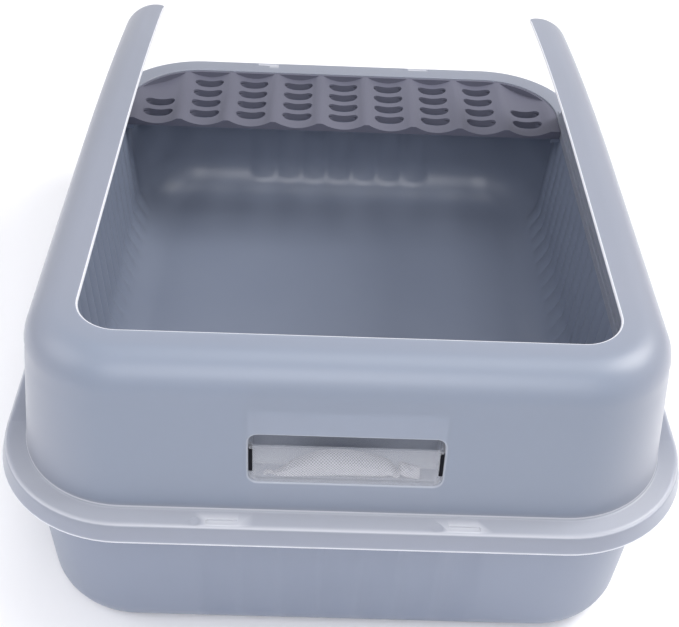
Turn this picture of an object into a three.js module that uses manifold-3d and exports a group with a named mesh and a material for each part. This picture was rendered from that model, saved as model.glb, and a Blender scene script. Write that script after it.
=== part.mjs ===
// Cat litter box with an open-topped hood: a deep tray, a frosted hood that clips round its rim,
// a slotted entry step at the far end, and a pull-out odour drawer with its pouch in the near wall.
// Millimetres, +Z up. X runs across the box, +Y points to the low entrance, and z = 0 is the floor.
import * as THREE from "three";
import { mergeVertices } from "three/addons/utils/BufferGeometryUtils.js";
import Module from "manifold-3d";

const wasm = await Module();
wasm.setup();

// ---- Driving dimensions ----
const WIDTH = 400; // over the hood's skirt, along X
const LENGTH = 530; // over the hood's skirt, along Y
const CORNER_RADIUS = 78; // of the skirt's outline in plan
const RING_TOP = 118; // upper face of the hood's ring, where it lies on the tray's rim
const HOOD_TOP = 213; // highest edge of the hood's rail
const SHEET = 2.5; // wall thickness of tray and hood
const FIT_GAP = 0.4; // clearance between separate pieces

// ---- Tray ----
const TRAY = {
  rimTop: RING_TOP - SHEET - FIT_GAP,
  rimOuter: 5.6, // every inset is counted inwards from the skirt's outline
  rimLip: 5.4,
  wallTop: 15.2,
  wallFoot: 20.2,
  baseRadius: 20,
  floor: 3,
  floorFillet: 34,
  ledgeInset: 27,
  ledgeTop: RING_TOP - 8 - FIT_GAP,
  ledgeThickness: 4,
};

// ---- Hood ----
const HOOD = {
  skirtBottom: 105.7,
  skirtSlope: 2.4,
  wallFoot: 15.4,
  wallLean: 0.115, // inset gained per millimetre of height
  shoulderRadius: 22,
  openingInset: 54.5,
  lipInset: 20,
  lipDepth: 8,
  rimEdge: 2.2,
};

// The rails dip towards the entrance and end in rounded tips that reach past the side walls.
const ENTRANCE = {
  tipEnd: 198,
  tipOuterRadius: 22,
  tipInnerRadius: 6,
  neck: 178,
  sweepRadius: 20,
  dipStart: -15,
  dip: 13.5,
};

// ---- Clip windows in the ring, each over a bead inside the skirt ----
const CLIP = { x: 66, length: 17.5, inset: 5, width: 3.6, beadDepth: 1.2 };

// ---- Pocket in the near wall ----
const POCKET = { halfWidth: 52, bottom: 138.8, top: 171, cornerRadius: 5, roofTop: 184, back: 44, wall: 2 };
const DRAWER = {
  top: 162.8,
  wall: 1.6,
  back: 41.6,
  slitWidth: 1.8,
  slitBottom: 146.8,
  slitTop: 161,
  travelGap: 0.5,
};
const POUCH = { left: -45, right: 41, height: 18.5, gap: 1 };

// ---- Entry step ----
const STEP = {
  front: 162.5,
  ridgeTop: RING_TOP - 1,
  bottom: RING_TOP - 8,
  troughDepth: 5,
  plate: 2,
  bayWidth: 38.6,
  fullBays: 7,
  ridgeWidth: 4,
  rim: 1.8, // upright edge that closes the troughs round the sides and the rear
  slotLength: 24.5,
  slotWidth: 10.5,
  rowPitch: 17,
  rows: 4,
  endRows: 2,
  firstRow: 17,
};

const COLOURS = { tray: 0x838ba3, hood: 0xb9bfd2, step: 0x6a6b78, drawer: 0xd5d8e0, pouch: 0xe6e5e2 };

// ---- Solids ----
function solidOf(geometry) {
  const bare = geometry.clone();
  bare.deleteAttribute("normal");
  bare.deleteAttribute("uv");
  const merged = mergeVertices(bare, 1e-4);
  return new wasm.Manifold(
    new wasm.Mesh({
      numProp: 3,
      vertProperties: merged.attributes.position.array,
      triVerts: new Uint32Array(merged.index.array),
    }),
  );
}

function meshOf(name, solid, colour, roughness) {
  const { vertProperties, triVerts, numProp } = solid.getMesh();
  const geometry = new THREE.BufferGeometry();
  const points = new THREE.InterleavedBuffer(vertProperties, numProp);
  geometry.setAttribute("position", new THREE.InterleavedBufferAttribute(points, 3, 0));
  geometry.setIndex(new THREE.BufferAttribute(triVerts, 1));
  const plain = geometry.toNonIndexed();
  plain.computeVertexNormals();
  const mesh = new THREE.Mesh(plain, new THREE.MeshStandardMaterial({ color: colour, roughness, metalness: 0 }));
  mesh.name = name;
  return mesh;
}

// ---- Plan outline ----
const CORNER_STEPS = 7;
const SIDE_STEPS = 8;

// One turn round the plan outline, counter-clockwise: each station is the point on a rounded
// rectangle that lies a given inset inside the skirt's outline.
function station(inset) {
  const halfX = WIDTH / 2 - inset;
  const halfY = LENGTH / 2 - inset;
  const radius = Math.max(CORNER_RADIUS - inset, 4);
  const centres = [
    [halfX - radius, -halfY + radius],
    [halfX - radius, halfY - radius],
    [-halfX + radius, halfY - radius],
    [-halfX + radius, -halfY + radius],
  ];
  const points = [];
  centres.forEach(([cx, cy], corner) => {
    for (let i = 0; i <= CORNER_STEPS; i++) {
      const angle = (corner - 1 + i / CORNER_STEPS) * (Math.PI / 2);
      points.push(new THREE.Vector2(cx + radius * Math.cos(angle), cy + radius * Math.sin(angle)));
    }
    const last = points[points.length - 1];
    const [nx, ny] = centres[(corner + 1) % 4];
    const angle = corner * (Math.PI / 2);
    const next = new THREE.Vector2(nx + radius * Math.cos(angle), ny + radius * Math.sin(angle));
    for (let i = 1; i < SIDE_STEPS; i++) points.push(last.clone().lerp(next, i / SIDE_STEPS));
  });
  return points;
}

// A solid whose section is swept round the outline. The section is a list of [inset, z] that runs up
// the outside and down the inside. A closed section makes a ring. An open one starts and ends with
// flat faces that span the whole outline.
function sweep(section, closed) {
  const loops = section.map(([inset]) => station(inset));
  const count = loops[0].length;
  const positions = [];
  loops.forEach((loop, row) => loop.forEach((p) => positions.push(p.x, p.y, section[row][1])));
  const index = [];
  const rows = closed ? section.length : section.length - 1;
  for (let row = 0; row < rows; row++) {
    const above = (row + 1) % section.length;
    for (let i = 0; i < count; i++) {
      const j = (i + 1) % count;
      const [a, b, c, d] = [row * count + i, row * count + j, above * count + j, above * count + i];
      index.push(a, b, c, a, c, d);
    }
  }
  if (!closed) {
    for (const row of [0, section.length - 1]) {
      const centre = positions.length / 3;
      positions.push(0, 0, section[row][1]);
      for (let i = 0; i < count; i++) {
        const [a, b] = [row * count + i, row * count + ((i + 1) % count)];
        index.push(...(row ? [a, b, centre] : [b, a, centre]));
      }
    }
  }
  const geometry = new THREE.BufferGeometry();
  geometry.setAttribute("position", new THREE.Float32BufferAttribute(positions, 3));
  geometry.setIndex(index);
  return geometry;
}

// Points of an arc in the section plane, from one angle to another, both included.
function arc(inset, z, radius, from, to, steps) {
  return Array.from({ length: steps + 1 }, (_, i) => {
    const angle = THREE.MathUtils.degToRad(from + ((to - from) * i) / steps);
    return [inset + radius * Math.cos(angle), z + radius * Math.sin(angle)];
  });
}

function box(x0, x1, y0, y1, z0, z1) {
  const geometry = new THREE.BoxGeometry(x1 - x0, y1 - y0, z1 - z0);
  geometry.translate((x0 + x1) / 2, (y0 + y1) / 2, (z0 + z1) / 2);
  return solidOf(geometry);
}

// A plan shape pulled up from z0 to z1.
function prism(shape, z0, z1, curveSegments = 6) {
  const geometry = new THREE.ExtrudeGeometry(shape, { depth: z1 - z0, bevelEnabled: false, curveSegments });
  geometry.translate(0, 0, z0);
  return solidOf(geometry);
}

// A side shape, drawn in (Y, Z), pulled across from x0 to x1.
function sidePrism(shape, x0, x1, curveSegments = 6) {
  const geometry = new THREE.ExtrudeGeometry(shape, { depth: x1 - x0, bevelEnabled: false, curveSegments });
  geometry.applyMatrix4(new THREE.Matrix4().set(0, 0, 1, x0, 1, 0, 0, 0, 0, 1, 0, 0, 0, 0, 0, 1));
  return solidOf(geometry);
}

// A front shape, drawn in (X, Z), pulled back from y0 to y1.
function frontPrism(shape, y0, y1, curveSegments = 6) {
  const geometry = new THREE.ExtrudeGeometry(shape, { depth: y1 - y0, bevelEnabled: false, curveSegments });
  geometry.rotateX(Math.PI / 2);
  geometry.translate(0, y1, 0);
  return solidOf(geometry);
}

function roundedRectangle(x0, x1, y0, y1, radius) {
  const shape = new THREE.Shape();
  shape.absarc(x1 - radius, y0 + radius, radius, -Math.PI / 2, 0);
  shape.absarc(x1 - radius, y1 - radius, radius, 0, Math.PI / 2);
  shape.absarc(x0 + radius, y1 - radius, radius, Math.PI / 2, Math.PI);
  shape.absarc(x0 + radius, y0 + radius, radius, Math.PI, 1.5 * Math.PI);
  return shape;
}

// Y of a line that lies a given inset inside the near edge.
const nearY = (inset) => inset - LENGTH / 2;

// ---- Tray ----
function tray() {
  const { rimTop, rimOuter, rimLip, wallTop, wallFoot, baseRadius, floor, floorFillet } = TRAY;
  const wallAt = (z) => wallFoot + ((wallTop - wallFoot) * (z - baseRadius)) / (rimTop - baseRadius);
  const filletTop = floor + floorFillet;
  const section = [
    ...arc(wallFoot + baseRadius, baseRadius, baseRadius, 270, 180, 4),
    [wallTop, rimTop - SHEET],
    [rimOuter + SHEET, rimTop - SHEET],
    [rimOuter + SHEET, rimTop - rimLip],
    [rimOuter, rimTop - rimLip],
    [rimOuter, rimTop],
    [wallTop + SHEET, rimTop],
    ...arc(wallAt(filletTop) + SHEET + floorFillet, filletTop, floorFillet, 180, 270, 5),
  ];
  return solidOf(sweep(section, false)).add(ledge());
}

// The shelf round the far end that carries the entry step.
function ledge() {
  const { ledgeInset, ledgeTop, ledgeThickness, wallTop } = TRAY;
  const ring = [
    [wallTop + 1, ledgeTop - ledgeThickness],
    [wallTop + 1, ledgeTop],
    [ledgeInset, ledgeTop],
    [ledgeInset, ledgeTop - ledgeThickness / 2],
  ];
  const farEnd = box(-WIDTH, WIDTH, STEP.front + 2, LENGTH, 0, HOOD_TOP);
  return solidOf(sweep(ring, true)).intersect(farEnd);
}

// ---- Hood ----
function hood() {
  let solid = solidOf(dipped(sweep(hoodSection(), true)));
  solid = solid.subtract(entranceCut()).subtract(tipCut(1)).subtract(tipCut(-1));
  solid = solid.add(pocketHousing()).subtract(pocketHollow());
  for (const x of [-CLIP.x, CLIP.x]) {
    for (const side of [-1, 1]) {
      solid = solid.subtract(clipWindow(x, side)).add(clipBead(x, side));
    }
  }
  return solid;
}

const wallInset = (z) => HOOD.wallFoot + (z - RING_TOP) * HOOD.wallLean;

function hoodSection() {
  const { skirtBottom, skirtSlope, wallFoot, shoulderRadius, openingInset, lipInset, lipDepth, rimEdge } = HOOD;
  const springing = HOOD_TOP - shoulderRadius;
  const shoulder = wallInset(springing) + shoulderRadius;
  const plateUnder = RING_TOP - SHEET;
  const outer = [
    [0, skirtBottom],
    ...arc(skirtSlope + 3, RING_TOP - 3, 3, 180, 90, 2),
    [wallFoot - 1, RING_TOP],
    [wallInset(RING_TOP + 1), RING_TOP + 1],
    ...arc(shoulder, springing, shoulderRadius, 180, 90, 5),
    [openingInset, HOOD_TOP],
  ];
  const inner = [
    [openingInset, HOOD_TOP - rimEdge],
    ...arc(shoulder, springing, shoulderRadius - SHEET, 90, 180, 4),
    [wallFoot + SHEET, RING_TOP],
    [lipInset, RING_TOP],
    [lipInset, RING_TOP - lipDepth],
    [lipInset - 1.9, RING_TOP - lipDepth],
    [lipInset - 1.9, plateUnder],
    [skirtSlope + SHEET, plateUnder],
    [SHEET, skirtBottom],
  ];
  return [...outer, ...inner];
}

// Above the ring, the hood's height falls off smoothly towards the entrance.
function dipped(geometry) {
  const points = geometry.attributes.position;
  const { dipStart, dip, tipEnd } = ENTRANCE;
  for (let i = 0; i < points.count; i++) {
    const run = Math.max(0, (points.getY(i) - dipStart) / (tipEnd - dipStart));
    const rise = Math.max(0, (points.getZ(i) - RING_TOP) / (HOOD_TOP - RING_TOP));
    points.setZ(i, points.getZ(i) - dip * run * run * rise);
  }
  return geometry;
}

// What the entrance takes away above the ring: each side wall sweeps up from the ring and stops
// where the tip above it starts to round.
function entranceCut() {
  const { tipEnd, tipOuterRadius, neck, sweepRadius } = ENTRANCE;
  const wallEnd = tipEnd - tipOuterRadius;
  const shape = new THREE.Shape();
  shape.moveTo(LENGTH, RING_TOP);
  shape.lineTo(LENGTH, HOOD_TOP + 10);
  shape.lineTo(tipEnd, HOOD_TOP + 10);
  shape.lineTo(tipEnd, neck);
  shape.lineTo(wallEnd, neck);
  shape.absarc(wallEnd + sweepRadius, RING_TOP + sweepRadius, sweepRadius, Math.PI, 1.5 * Math.PI);
  return sidePrism(shape, -WIDTH, WIDTH);
}

// Rounds one rail's tip in plan, more on its outer corner than on its inner one.
function tipCut(side) {
  const { tipEnd, tipOuterRadius, tipInnerRadius, neck } = ENTRANCE;
  const outer = WIDTH / 2 - wallInset(HOOD_TOP - HOOD.shoulderRadius);
  const inner = WIDTH / 2 - HOOD.openingInset;
  const shape = new THREE.Shape();
  shape.moveTo(inner - 5, tipEnd + 5);
  shape.lineTo(inner - 5, tipEnd - tipInnerRadius);
  shape.lineTo(inner, tipEnd - tipInnerRadius);
  shape.absarc(inner + tipInnerRadius, tipEnd - tipInnerRadius, tipInnerRadius, Math.PI, Math.PI / 2, true);
  shape.absarc(outer - tipOuterRadius, tipEnd - tipOuterRadius, tipOuterRadius, Math.PI / 2, 0, true);
  shape.lineTo(outer + 20, tipEnd - tipOuterRadius);
  shape.lineTo(outer + 20, tipEnd + 5);
  const cut = prism(shape, neck - 2, HOOD_TOP + 10);
  return side > 0 ? cut : cut.mirror([1, 0, 0]);
}

// The box behind the near wall that the drawer slides into.
function pocketHousing() {
  const { halfWidth, bottom, roofTop, back, wall } = POCKET;
  const reach = halfWidth + wall + 0.3;
  const shape = new THREE.Shape();
  shape.moveTo(nearY(wallInset(bottom - wall) + 1), bottom - wall);
  shape.lineTo(nearY(back + wall), bottom - wall);
  shape.lineTo(nearY(back + wall), roofTop + wall);
  shape.lineTo(nearY(wallInset(roofTop + wall) + 1), roofTop + wall);
  return sidePrism(shape, -reach, reach);
}

function pocketHollow() {
  const { halfWidth, bottom, top, cornerRadius, roofTop, back } = POCKET;
  const room = new THREE.Shape();
  room.moveTo(nearY(wallInset(bottom) + SHEET), bottom);
  room.lineTo(nearY(back), bottom);
  room.lineTo(nearY(back), roofTop);
  room.lineTo(nearY(wallInset(roofTop) + SHEET), roofTop);
  const window = roundedRectangle(-halfWidth, halfWidth, bottom, top, cornerRadius);
  const reach = halfWidth + 0.3;
  return sidePrism(room, -reach, reach).add(frontPrism(window, nearY(0), nearY(back - 10), 4));
}

function clipWindow(x, side) {
  const { length, inset, width } = CLIP;
  const y = side * (LENGTH / 2 - inset - width / 2);
  return box(x - length / 2, x + length / 2, y - width / 2, y + width / 2, RING_TOP - SHEET - 1, RING_TOP + 1);
}

function clipBead(x, side) {
  const { length, beadDepth } = CLIP;
  const z = HOOD.skirtBottom;
  const shape = new THREE.Shape();
  const at = (inset) => side * (LENGTH / 2 - inset);
  shape.moveTo(at(1.2), z + 0.3);
  shape.lineTo(at(SHEET + beadDepth * 0.7), z + 0.3);
  shape.lineTo(at(SHEET + beadDepth + 0.5), z + 2.3);
  shape.lineTo(at(1.6), z + 4);
  return sidePrism(shape, x - length / 2 + 1, x + length / 2 - 1);
}

// ---- Entry step ----
function entryStep() {
  const { front, bottom, ridgeTop, rim } = STEP;
  const rear = LENGTH / 2;
  const bar = frontPrism(corrugation(true), front, front + 2);
  let solid = frontPrism(corrugation(false), front, rear).add(bar);
  const inset = HOOD.lipInset + FIT_GAP;
  const outline = solidOf(sweep([[inset, bottom], [inset, ridgeTop]], false));
  const inside = solidOf(sweep([[inset + rim, bottom - 1], [inset + rim, ridgeTop + 1]], false));
  const kept = box(-WIDTH / 2, WIDTH / 2, front, rear, bottom, ridgeTop);
  solid = solid.intersect(outline).add(outline.subtract(inside).intersect(kept));
  return slots().reduce((left, slot) => left.subtract(slot), solid);
}

const bayCentre = (bay) => (bay - (STEP.fullBays + 1) / 2) * STEP.bayWidth;

// The step's section across: a shallow trough in each bay and a flat ridge between bays. The front
// edge is filled down to a straight line, and the rest of the plate is thin.
function corrugation(filled) {
  const { ridgeTop, troughDepth, plate, bayWidth, fullBays, ridgeWidth, bottom } = STEP;
  const edge = WIDTH / 2 - HOOD.lipInset;
  const surface = [new THREE.Vector2(-edge, ridgeTop)];
  const half = bayWidth / 2 - ridgeWidth / 2;
  const steps = 4;
  for (let bay = 0; bay <= fullBays + 1; bay++) {
    for (let i = 0; i <= steps; i++) {
      const across = (i / steps) * 2 - 1;
      const z = ridgeTop - troughDepth * (1 - across * across);
      surface.push(new THREE.Vector2(bayCentre(bay) + across * half, z));
    }
  }
  surface.push(new THREE.Vector2(edge, ridgeTop));
  const under = filled
    ? [surface[0].clone().setY(bottom), surface[surface.length - 1].clone().setY(bottom)]
    : surface.map((p) => new THREE.Vector2(p.x, p.y - plate));
  return new THREE.Shape([...under, ...surface.reverse()]);
}

function slots() {
  const { fullBays, rows, endRows, front, firstRow, rowPitch, slotLength, slotWidth } = STEP;
  const { bottom, ridgeTop } = STEP;
  const made = [];
  for (let bay = 0; bay <= fullBays + 1; bay++) {
    const endBay = bay === 0 || bay === fullBays + 1;
    for (let row = 0; row < (endBay ? endRows : rows); row++) {
      const x = bayCentre(bay);
      const y = front + firstRow + row * rowPitch;
      const reach = slotLength / 2;
      const half = slotWidth / 2;
      const shape = roundedRectangle(x - reach, x + reach, y - half, y + half, half - 0.01);
      made.push(prism(shape, bottom - 3, ridgeTop + 3, 2));
    }
  }
  return made;
}

// ---- Odour drawer and pouch ----
// A block across the pocket whose near face leans with the hood's wall.
function leaningBlock(halfWidth, bottom, top, frontGap, back) {
  const shape = new THREE.Shape();
  shape.moveTo(nearY(wallInset(bottom) + frontGap), bottom);
  shape.lineTo(nearY(back), bottom);
  shape.lineTo(nearY(back), top);
  shape.lineTo(nearY(wallInset(top) + frontGap), top);
  return sidePrism(shape, -halfWidth, halfWidth);
}

function odourDrawer() {
  const { top, wall, back, slitWidth, slitBottom, slitTop, travelGap } = DRAWER;
  const halfWidth = POCKET.halfWidth - travelGap;
  const bottom = POCKET.bottom + FIT_GAP;
  const inside = halfWidth - wall;
  const face = roundedRectangle(-halfWidth, halfWidth, bottom, POCKET.roofTop, POCKET.cornerRadius);
  const block = leaningBlock(halfWidth, bottom, top, travelGap, back);
  const outer = block.intersect(frontPrism(face, nearY(0), nearY(back), 4));
  const core = roundedRectangle(-inside, inside, bottom + wall, POCKET.roofTop, POCKET.cornerRadius - wall);
  const hollow = leaningBlock(inside, bottom + wall, top + 1, travelGap + wall, back - wall);
  let solid = outer.subtract(hollow.intersect(frontPrism(core, nearY(0), nearY(back), 4)));
  for (const side of [-1, 1]) {
    const x = side * (inside - slitWidth / 2);
    const y = [nearY(wallInset(bottom) - 2), nearY(wallInset(top) + travelGap + wall + 2)];
    solid = solid.subtract(box(x - slitWidth / 2, x + slitWidth / 2, y[0], y[1], slitBottom, slitTop));
  }
  return solid;
}

// The filled sachet, a plain pad with an arched top.
function odourPouch() {
  const { left, right, height, gap } = POUCH;
  const base = POCKET.bottom + FIT_GAP + DRAWER.wall + 0.3;
  const shape = new THREE.Shape();
  shape.moveTo(left, base);
  shape.lineTo(right, base);
  shape.lineTo(right, base + height * 0.35);
  shape.quadraticCurveTo((left + right) / 2, base + height * 1.65, left, base + height * 0.35);
  const front = nearY(wallInset(DRAWER.top) + DRAWER.travelGap + DRAWER.wall + gap);
  return frontPrism(shape, front, nearY(DRAWER.back - DRAWER.wall - gap), 5);
}

// ---- Assembly ----
const litterBox = new THREE.Group();
litterBox.add(meshOf("tray", tray(), COLOURS.tray, 0.45));
litterBox.add(meshOf("hood", hood(), COLOURS.hood, 0.5));
litterBox.add(meshOf("entry_step", entryStep(), COLOURS.step, 0.5));
litterBox.add(meshOf("odour_drawer", odourDrawer(), COLOURS.drawer, 0.2));
litterBox.add(meshOf("odour_pouch", odourPouch(), COLOURS.pouch, 0.9));

export default litterBox;
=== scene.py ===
import logging
import math
from dataclasses import dataclass
from enum import Enum

import bmesh
import bpy
import numpy as np
from mathutils import Euler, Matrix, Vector


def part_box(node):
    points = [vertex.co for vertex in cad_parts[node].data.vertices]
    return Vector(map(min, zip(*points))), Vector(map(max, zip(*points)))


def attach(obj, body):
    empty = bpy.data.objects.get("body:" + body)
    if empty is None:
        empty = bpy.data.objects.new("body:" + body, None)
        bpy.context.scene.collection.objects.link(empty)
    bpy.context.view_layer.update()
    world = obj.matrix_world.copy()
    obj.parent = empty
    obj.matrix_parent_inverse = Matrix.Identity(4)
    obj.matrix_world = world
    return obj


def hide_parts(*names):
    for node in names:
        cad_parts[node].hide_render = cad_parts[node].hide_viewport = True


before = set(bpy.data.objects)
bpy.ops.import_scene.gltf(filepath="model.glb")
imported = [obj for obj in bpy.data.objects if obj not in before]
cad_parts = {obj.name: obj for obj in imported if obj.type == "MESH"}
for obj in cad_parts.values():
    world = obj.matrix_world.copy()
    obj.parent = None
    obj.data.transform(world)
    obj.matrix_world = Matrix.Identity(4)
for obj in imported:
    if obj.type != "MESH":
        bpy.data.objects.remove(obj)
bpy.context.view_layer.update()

# Cat litter box with an open-topped frosted hood: the looks of its five mouldings and its sachet.
# Lengths are in metres in the part's own frame: X across, +Y towards the low entrance, Z up.

LOG = logging.getLogger("litter_box")
MM = 0.001
PAINTED_SHADE = "painted_shade_tint"  # 1 where painted shade darkens the near wall above the ring
PAINTED_EDGE = "painted_edge_highlight"  # 1 where a painted pale highlight and a painted glow go: along thin edges and at a few lit spots
LENGTHWISE = "cloth_length"  # metres along the sachet's cloth
ROUND = "cloth_round"  # metres round the sachet's cloth

# Node types, and the settings of the maths and mixing nodes
MATH, MIX, MAP_RANGE, NOISE = "ShaderNodeMath", "ShaderNodeMix", "ShaderNodeMapRange", "ShaderNodeTexNoise"
PRINCIPLED = "ShaderNodeBsdfPrincipled"
RGBA = {"data_type": "RGBA"}
ABSOLUTE, ADD, DIVIDE, GREATER_THAN, LESS_THAN = (
    {"operation": name} for name in ("ABSOLUTE", "ADD", "DIVIDE", "GREATER_THAN", "LESS_THAN")
)
MAXIMUM, MULTIPLY, POWER, SIGN, SINE, SUBTRACT = (
    {"operation": name} for name in ("MAXIMUM", "MULTIPLY", "POWER", "SIGN", "SINE", "SUBTRACT")
)

Point = tuple[float, float]


# ---------------------------------------------------------------------------
# Node helpers
# ---------------------------------------------------------------------------
def linear(code: str) -> tuple[float, float, float, float]:
    """Turn an sRGB hex colour into linear RGBA.

    Args:
        code: Six hex digits, such as "8a93a8".

    Returns:
        Linear red, green, blue and an alpha of 1.
    """
    channels = [int(code[i : i + 2], 16) / 255 for i in (0, 2, 4)]
    red, green, blue = [c / 12.92 if c <= 0.04045 else ((c + 0.055) / 1.055) ** 2.4 for c in channels]
    return red, green, blue, 1.0


def add_node(tree: bpy.types.NodeTree, kind: str, settings: dict | None = None, inputs: dict | None = None):
    """Add one node with its settings, and fill or link its inputs.

    Args:
        tree: The node tree to add to.
        kind: The node's type name.
        settings: Attribute names and values to set on the node.
        inputs: Input names or indices, each with a value or an output socket to link.

    Returns:
        The new node.
    """
    node = tree.nodes.new(kind)
    for key, value in (settings or {}).items():
        setattr(node, key, value)
    for key, value in (inputs or {}).items():
        socket = node.inputs[key]
        if isinstance(value, bpy.types.NodeSocket):
            tree.links.new(value, socket)
        else:
            socket.default_value = value
    return node


def new_geometry_tree(name: str, sizes: dict[str, float]) -> tuple:
    """Start a Geometry Nodes tree with a mesh coming in, a mesh going out and one input per size.

    Args:
        name: Tree name.
        sizes: Input names and their first values.

    Returns:
        The tree, its input node and its output node.
    """
    tree = bpy.data.node_groups.new(name, "GeometryNodeTree")
    tree.interface.new_socket("Geometry", in_out="INPUT", socket_type="NodeSocketGeometry")
    tree.interface.new_socket("Geometry", in_out="OUTPUT", socket_type="NodeSocketGeometry")
    for size, value in sizes.items():
        socket = tree.interface.new_socket(size, in_out="INPUT", socket_type="NodeSocketFloat")
        socket.default_value = value
    return tree, add_node(tree, "NodeGroupInput"), add_node(tree, "NodeGroupOutput")


def run_geometry_tree(obj: bpy.types.Object, tree: bpy.types.NodeTree, sizes: dict[str, float]) -> None:
    """Run a Geometry Nodes tree on an object and keep the result as plain mesh.

    Args:
        obj: The object to change.
        tree: The tree to run.
        sizes: Values for the tree's named inputs.
    """
    modifier = obj.modifiers.new(tree.name, "NODES")
    modifier.node_group = tree
    places = {item.name: item.identifier for item in tree.interface.items_tree if item.in_out == "INPUT"}
    for size, value in sizes.items():
        modifier[places[size]] = float(value)
    bake_modifiers(obj)


# ---------------------------------------------------------------------------
# Mesh helpers
# ---------------------------------------------------------------------------
def new_object(name: str, vertices: list, faces: list) -> bpy.types.Object:
    """Make a mesh object at the origin and link it to the scene.

    Args:
        name: Object and mesh name.
        vertices: Points in metres.
        faces: Tuples of vertex indices, turning outwards.

    Returns:
        The linked object.
    """
    mesh = bpy.data.meshes.new(name)
    mesh.from_pydata([tuple(map(float, v)) for v in vertices], [], [tuple(map(int, f)) for f in faces])
    mesh.update()
    obj = bpy.data.objects.new(name, mesh)
    bpy.context.scene.collection.objects.link(obj)
    return obj


def bake_modifiers(obj: bpy.types.Object) -> None:
    """Turn an object's modifiers into plain mesh and remove them."""
    bpy.context.view_layer.update()
    evaluated = obj.evaluated_get(bpy.context.evaluated_depsgraph_get())
    mesh = bpy.data.meshes.new_from_object(evaluated)
    old = obj.data
    obj.modifiers.clear()
    obj.data = mesh
    bpy.data.meshes.remove(old)
    mesh.name = obj.name


def combine(obj: bpy.types.Object, other: bpy.types.Object, operation: str) -> None:
    """Join, cut or intersect an object with another, which is used up.

    Args:
        obj: The object to change.
        other: The tool object.
        operation: UNION, DIFFERENCE or INTERSECT.
    """
    modifier = obj.modifiers.new("combine", "BOOLEAN")
    modifier.operation = operation
    modifier.solver = "EXACT"
    modifier.object = other
    bake_modifiers(obj)
    bpy.data.objects.remove(other)


def round_edges(obj: bpy.types.Object, width: float, segments: int = 2, angle: float = 38) -> None:
    """Round every edge sharper than an angle, mark the rounding for the painted edge highlight, and shade the
    piece smooth.

    Args:
        obj: The object to change.
        width: Width of the rounding, in metres.
        segments: Faces across the rounding.
        angle: Edges that turn by more than this, in degrees, are rounded.
    """
    obj.data.materials.clear()
    obj.data.materials.append(None)
    obj.data.materials.append(None)
    obj.data.polygons.foreach_set("material_index", [0] * len(obj.data.polygons))
    modifier = obj.modifiers.new("round", "BEVEL")
    modifier.width = width
    modifier.segments = segments
    modifier.limit_method = "ANGLE"
    modifier.angle_limit = math.radians(angle)
    modifier.use_clamp_overlap = True
    modifier.material = 1
    bake_modifiers(obj)
    marks = np.zeros(len(obj.data.polygons), dtype=np.int32)
    obj.data.polygons.foreach_get("material_index", marks)
    sizes = np.zeros(len(marks), dtype=np.int32)
    obj.data.polygons.foreach_get("loop_total", sizes)
    edge = obj.data.attributes.new(PAINTED_EDGE, "FLOAT", "CORNER")
    edge.data.foreach_set("value", np.repeat(marks, sizes).astype(np.float32))
    obj.data.polygons.foreach_set("material_index", [0] * len(marks))
    shade(obj)


def add_painted_edge_highlight(obj: bpy.types.Object, amount) -> None:
    """Raise the painted edge highlight mark wherever a rule on the points asks for it.

    Args:
        obj: The object, already marked by round_edges.
        amount: A function from rows of points to a value from 0 to 1 for each. A face whose own
        centre has none keeps its old mark, so the painted light stays within its lines.
    """
    corners = np.zeros(len(obj.data.loops), dtype=np.int32)
    obj.data.loops.foreach_get("vertex_index", corners)
    edge = obj.data.attributes[PAINTED_EDGE]
    values = np.zeros(len(corners), dtype=np.float32)
    edge.data.foreach_get("value", values)
    centres = np.zeros(len(obj.data.polygons) * 3)
    obj.data.polygons.foreach_get("center", centres)
    sizes = np.zeros(len(obj.data.polygons), dtype=np.int32)
    obj.data.polygons.foreach_get("loop_total", sizes)
    marked = np.repeat(amount(centres.reshape(-1, 3)) > 0.02, sizes)
    raised = amount(points_of(obj))[corners] * marked
    edge.data.foreach_set("value", np.maximum(values, raised).astype(np.float32))


def shade(obj: bpy.types.Object, angle: float = 35) -> None:
    """Shade smooth, apart from edges sharper than an angle in degrees."""
    obj.data.polygons.foreach_set("use_smooth", [True] * len(obj.data.polygons))
    obj.data.set_sharp_from_angle(angle=math.radians(angle))
    obj.data.update()


def clean(obj: bpy.types.Object, distance: float = 1e-6) -> None:
    """Merge doubled points and drop faces without area."""
    work = bmesh.new()
    work.from_mesh(obj.data)
    bmesh.ops.remove_doubles(work, verts=work.verts, dist=distance)
    bmesh.ops.dissolve_degenerate(work, edges=work.edges, dist=distance)
    work.to_mesh(obj.data)
    work.free()
    obj.data.update()


def face_outwards(obj: bpy.types.Object) -> None:
    """Turn every face of a closed solid outwards."""
    work = bmesh.new()
    work.from_mesh(obj.data)
    bmesh.ops.recalc_face_normals(work, faces=work.faces)
    work.to_mesh(obj.data)
    work.free()


def points_of(obj: bpy.types.Object) -> np.ndarray:
    """Read an object's points as rows of x, y and z."""
    points = np.zeros(len(obj.data.vertices) * 3)
    obj.data.vertices.foreach_get("co", points)
    return points.reshape(-1, 3)


def bridge(loops: int, count: int, closed: bool = False) -> list[tuple]:
    """Join loops of points, listed one after another, with quads.

    Args:
        loops: Number of loops.
        count: Points in each loop.
        closed: True when the last loop joins the first.

    Returns:
        The faces, loop by loop.
    """
    faces = []
    for row in range(loops if closed else loops - 1):
        low, high = row * count, (row + 1) % loops * count
        for i in range(count):
            j = (i + 1) % count
            faces.append((low + i, low + j, high + j, high + i))
    return faces


def arc(centre: Point, radius: float, start: float, end: float, steps: int) -> list[Point]:
    """Points of an arc, both ends included.

    Args:
        centre: Its centre.
        radius: Its radius.
        start: First angle in degrees.
        end: Last angle in degrees.
        steps: Number of chords.

    Returns:
        The points in order.
    """
    angles = np.radians(np.linspace(start, end, steps + 1))
    return [(centre[0] + radius * math.cos(a), centre[1] + radius * math.sin(a)) for a in angles]


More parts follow.
